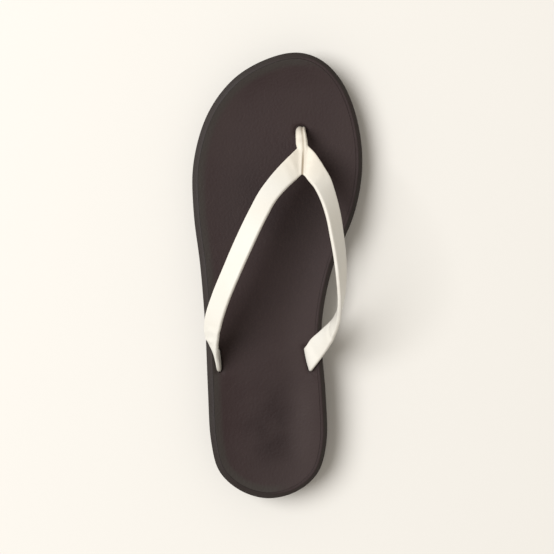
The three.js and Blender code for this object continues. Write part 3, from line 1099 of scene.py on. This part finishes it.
def build_wearing_and_painted_light(name):
    """A painted mask broken up by noise, as a share from 0 to Amount."""
    group, given, result = new_group(
        name,
        [
            ("Mask", "NodeSocketFloat", 0.0),
            ("Patches", "NodeSocketFloat", 120.0),
            ("Amount", "NodeSocketFloat", 0.5),
        ],
        [("Mask", "NodeSocketFloat")],
    )
    link = group.links.new
    coords = add_node(group, "ShaderNodeTexCoord")
    patches = add_node(group, "ShaderNodeTexNoise", {"Detail": 5.0, "Roughness": 0.6})
    spread = add_node(group, "ShaderNodeMapRange", {"From Min": 0.3, "From Max": 0.62})
    broken = add_node(group, "ShaderNodeMath", operation="MULTIPLY")
    share = add_node(group, "ShaderNodeMath", operation="MULTIPLY")
    link(coords.outputs["Object"], patches.inputs["Vector"])
    link(given.outputs["Patches"], patches.inputs["Scale"])
    link(patches.outputs["Fac"], spread.inputs["Value"])
    link(spread.outputs["Result"], broken.inputs[0])
    link(given.outputs["Mask"], broken.inputs[1])
    link(broken.outputs["Value"], share.inputs[0])
    link(given.outputs["Amount"], share.inputs[1])
    link(share.outputs["Value"], result.inputs["Mask"])
    return group


def place_group(tree, group, **values):
    made = tree.nodes.new("ShaderNodeGroup")
    made.node_tree = group
    for name, value in values.items():
        made.inputs[name.replace("_", " ")].default_value = value
    return made


def new_material(name):
    material = bpy.data.materials.new(name)
    material.use_nodes = True
    return material, material.node_tree, material.node_tree.nodes["Principled BSDF"]


class Finish:
    """A material with drifting tone and a bumped grain, over which masks lay further colours."""

    def __init__(self, name, dark, light, patches, rough):
        self.material, self.tree, self.shader = new_material(name)
        drift = place_group(
            self.tree,
            shared_group("Tone drift", build_drift),
            Dark=opaque(dark),
            Light=opaque(light),
            Patches=patches,
        )
        gloss = add_node(self.tree, "ShaderNodeMapRange", {"To Min": rough[0], "To Max": rough[1]})
        self.tree.links.new(drift.outputs["Mask"], gloss.inputs["Value"])
        self.colour = drift.outputs["Color"]
        self.rough = gloss.outputs["Result"]

    def painted(self, name):
        return add_node(self.tree, "ShaderNodeAttribute", attribute_name=name).outputs["Fac"]

    # A mask broken up by noise, for wearing, the darker tan, and painted light and shade.
    def wearing_and_painted_light(self, name, patches, amount):
        patchy_mask = place_group(self.tree, shared_group("Wear", build_wearing_and_painted_light), Patches=patches, Amount=amount)
        self.tree.links.new(self.painted(name), patchy_mask.inputs["Mask"])
        return patchy_mask.outputs["Mask"]

    def lay(self, mask, value):
        """Lay a colour over what is there, where a mask says so."""
        mix = add_node(self.tree, "ShaderNodeMix", data_type="RGBA")
        self.tree.links.new(mask, mix.inputs[MIX_SHARE])
        self.tree.links.new(self.colour, mix.inputs[MIX_COLOURS[0]])
        mix.inputs[MIX_COLOURS[1]].default_value = opaque(value)
        self.colour = mix.outputs[MIX_COLOUR_OUT]

    def polish(self, mask, value):
        """Bring the roughness to a value, where a mask says so."""
        mix = add_node(self.tree, "ShaderNodeMix", data_type="FLOAT")
        self.tree.links.new(mask, mix.inputs[MIX_SHARE])
        self.tree.links.new(self.rough, mix.inputs[MIX_VALUES[0]])
        mix.inputs[MIX_VALUES[1]].default_value = value
        self.rough = mix.outputs[MIX_VALUE_OUT]

    def close(self, depth, specular, **grain):
        """Add the grain, and join everything to the shader."""
        link = self.tree.links.new
        relief = place_group(self.tree, shared_group("Grain", build_grain), **grain)
        bump = add_node(self.tree, "ShaderNodeBump", {"Strength": 1.0, "Distance": depth})
        link(relief.outputs["Height"], bump.inputs["Height"])
        link(bump.outputs["Normal"], self.shader.inputs["Normal"])
        link(self.colour, self.shader.inputs["Base Color"])
        link(self.rough, self.shader.inputs["Roughness"])
        self.shader.inputs["Specular IOR Level"].default_value = specular
        return self.material


def foam_material():
    tone = colours()
    finish = Finish("Moulded foam", tone.foam, tone.foam_light, patches=40.0, rough=(0.5, 0.62))
    # Lighter rounded rim: rubbing, and painted sheen.
    finish.lay(finish.wearing_and_painted_light("rubbed_and_painted_light", patches=90.0, amount=0.7), tone.foam_rub_sheen)
    finish.lay(finish.painted("brim"), tone.footbed)
    relief = {"Pebbles": 1100.0, "Pores": 3500.0, "Pore_share": 0.45}
    return finish.close(depth=0.14 * MM, specular=0.28, **relief)


def footbed_material():
    tone = colours()
    light = tone.footbed_light
    finish = Finish("Footbed foam", tone.footbed, light, patches=28.0, rough=(0.56, 0.68))
    # Darker where the foot presses: its wearing, and painted shade in the heel dish.
    wearing_and_painted_light = finish.wearing_and_painted_light("wearing_and_painted_light", patches=25.0, amount=1.1)
    finish.lay(wearing_and_painted_light, tone.footbed_wearing_and_shade)
    finish.polish(wearing_and_painted_light, 0.5)
    # Painted light: a lighter patch where the heel's inner slope faces the light.
    finish.lay(finish.wearing_and_painted_light("painted_heel_light", patches=20.0, amount=1.0), tone.footbed_heel_light)
    # Painted light on the band beside the outer rim and the toe.
    finish.lay(finish.painted("painted_margin_light"), tone.footbed_margin_light)
    # Painted shade beside the slots.
    finish.lay(finish.wearing_and_painted_light("rubbed_and_painted_light", patches=150.0, amount=0.6), tone.footbed_wearing_and_shade)
    relief = {"Pebbles": 800.0, "Pores": 2800.0, "Pore_share": 0.4}
    return finish.close(depth=0.18 * MM, specular=0.18, **relief)


def leather_material():
    tone = colours()
    warm = tone.leather_warm
    finish = Finish("Cream leather", warm, tone.leather, patches=45.0, rough=(0.4, 0.52))
    # Painted warm light of the shaded valley by the seam.
    finish.lay(finish.painted("seam_warm_light"), tone.seam_warm_light)
    # Darker tan towards the footbed.
    finish.lay(finish.wearing_and_painted_light("darker_tan", patches=160.0, amount=0.22), tone.darker_tan)
    # Darker edge tone with painted shade along the strap edges.
    finish.lay(finish.wearing_and_painted_light("edge", patches=220.0, amount=0.2), tone.darker_tan)
    finish.lay(finish.painted("seam"), tone.seam)
    relief = {"Pebbles": 1400.0, "Pores": 5000.0, "Pore_share": 0.3}
    return finish.close(depth=0.05 * MM, specular=0.45, **relief)


# Studio


def look_at(place, target):
    """A transform for a camera or light that looks from a place to a target, with +Y up in its view."""
    back = (place - target).normalized()
    right = Vector((0, 1, 0)).cross(back).normalized()
    up = back.cross(right)
    turn = Matrix((right, up, back)).transposed().to_4x4()
    return Matrix.Translation(place) @ turn


def floor_material():
    material, _, shader = new_material("Studio floor")
    shader.inputs["Base Color"].default_value = opaque(studio().floor)
    shader.inputs["Roughness"].default_value = 0.9
    shader.inputs["Specular IOR Level"].default_value = 0.05
    return material


def add_light(name, place, target, width, power):
    lamp = bpy.data.lights.new(name, "AREA")
    lamp.shape = "DISK"
    lamp.size = width
    lamp.energy = power
    light = bpy.data.objects.new(name, lamp)
    light.matrix_world = look_at(place, target)
    bpy.context.scene.collection.objects.link(light)


class SANDAL_OT_stage(bpy.types.Operator):
    """Set the pale floor, the soft studio light and the camera"""

    bl_idname = "sandal.stage"
    bl_label = "Studio stage"

    def execute(self, context):
        scene = context.scene
        setting = studio()
        bm = bmesh.new()
        bmesh.ops.create_grid(bm, x_segments=2, y_segments=2, size=FLOOR_HALF)
        floor = object_from(bm, "studio_floor")
        floor.data.materials.append(floor_material())

        middle = (CAD_LOW + CAD_HIGH) / 2
        target = Vector((middle.x, middle.y, LOOK_HEIGHT))
        key = Vector(setting.key_place)
        add_light("key_light", key, target, setting.key_width, setting.key_power)

        world = bpy.data.worlds.new("Studio air")
        world.use_nodes = True
        air = world.node_tree.nodes["Background"]
        air.inputs["Color"].default_value = opaque(setting.air)
        air.inputs["Strength"].default_value = setting.fill
        scene.world = world
        scene.view_settings.view_transform = "Standard"

        lens = bpy.data.cameras.new("studio_camera")
        place = Vector(setting.camera_place)
        lens.angle = 2 * math.atan(setting.frame_height / 2 / (place - target).length)
        lens.clip_start, lens.clip_end = CAMERA_RANGE
        camera = bpy.data.objects.new("studio_camera", lens)
        camera.matrix_world = look_at(place, target)
        scene.collection.objects.link(camera)
        scene.camera = camera
        return {"FINISHED"}


class SANDAL_PT_panel(bpy.types.Panel):
    """Buttons and values of the sandal, in the 3D view's sidebar"""

    bl_idname = "SANDAL_PT_panel"
    bl_label = "Thong sandal"
    bl_space_type = "VIEW_3D"
    bl_region_type = "UI"
    bl_category = "Sandal"

    def draw(self, context):
        layout = self.layout
        for operator in OPERATORS:
            layout.operator(operator.bl_idname)
        for group in (sizes(), colours(), studio()):
            box = layout.box()
            for name in group.__annotations__:
                box.prop(group, name)


OPERATORS = (SANDAL_OT_sole, SANDAL_OT_footbed, SANDAL_OT_upper, SANDAL_OT_stage)
GROUPS = (SandalSizes, SandalColours, SandalStudio)


def register():
    for made in (*GROUPS, *OPERATORS, SANDAL_PT_panel):
        bpy.utils.register_class(made)
    bpy.types.Scene.sandal_sizes = PointerProperty(type=SandalSizes)
    bpy.types.Scene.sandal_colours = PointerProperty(type=SandalColours)
    bpy.types.Scene.sandal_studio = PointerProperty(type=SandalStudio)


def unregister():
    del bpy.types.Scene.sandal_studio
    del bpy.types.Scene.sandal_colours
    del bpy.types.Scene.sandal_sizes
    for made in reversed((*GROUPS, *OPERATORS, SANDAL_PT_panel)):
        bpy.utils.unregister_class(made)


def main():
    register()
    bpy.ops.sandal.sole()
    bpy.ops.sandal.footbed()
    bpy.ops.sandal.upper()
    bpy.ops.sandal.stage()


if __name__ == "__main__":
    main()
